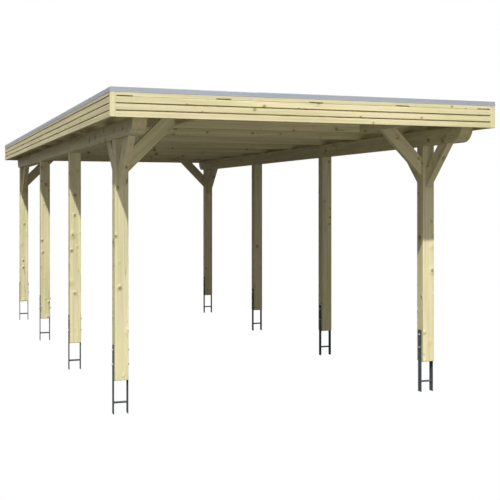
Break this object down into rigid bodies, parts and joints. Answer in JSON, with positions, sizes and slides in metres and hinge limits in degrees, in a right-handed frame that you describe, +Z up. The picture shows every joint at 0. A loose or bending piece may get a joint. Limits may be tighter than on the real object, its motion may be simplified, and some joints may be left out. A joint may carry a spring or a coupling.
{
  "type": "timber carport",
  "caption": "Open timber carport with a flat boarded roof on two rows of braced posts in steel anchors, and a slatted edge with a grey metal trim.",
  "frame": {"origin": "on the ground under the middle of the roof, level with the ends of the anchor legs", "axes": "+X to the right across the roof, +Y from the front to the back along the post rows, +Z up"},
  "size_m": [3.374, 8.034, 2.632],
  "materials": {
    "timber": "planed, pressure-treated spruce, matt",
    "edge_boards": "planed, pressure-treated spruce, matt",
    "galvanised_steel": "hot-dip galvanised, weathered to dull grey",
    "trim_metal": "dull grey folded sheet",
    "membrane": "granulated roofing felt"
  },
  "bodies": {
    "root": {"anchor_left_1": "galvanised_steel", "anchor_left_2": "galvanised_steel", "anchor_left_3": "galvanised_steel", "anchor_left_4": "galvanised_steel", "anchor_right_1": "galvanised_steel", "anchor_right_2": "galvanised_steel", "anchor_right_3": "galvanised_steel", "anchor_right_4": "galvanised_steel", "post_left_1": "timber", "post_left_2": "timber", "post_left_3": "timber", "post_left_4": "timber", "post_right_1": "timber", "post_right_2": "timber", "post_right_3": "timber", "post_right_4": "timber", "beam_left_front": "timber", "beam_left_middle": "timber", "beam_left_rear": "timber", "beam_right_front": "timber", "beam_right_middle": "timber", "beam_right_rear": "timber", "brace_left_front_outer": "timber", "brace_left_front_inner": "timber", "brace_left_rear_inner": "timber", "brace_right_front_outer": "timber", "brace_right_front_inner": "timber", "brace_right_rear_inner": "timber", "cross_brace_left_front": "timber", "cross_brace_left_rear": "timber", "cross_brace_right_front": "timber", "cross_brace_right_rear": "timber", "brace_blocks": "timber", "rafters": "timber", "roof_boarding": "timber", "roof_membrane": "membrane", "fascia_front": "edge_boards", "fascia_rear": "edge_boards", "fascia_left": "edge_boards", "fascia_right": "edge_boards", "corner_laths": "edge_boards", "trim_front": "trim_metal", "trim_rear": "trim_metal", "trim_left": "trim_metal", "trim_right": "trim_metal"}
  },
  "joints": []
}
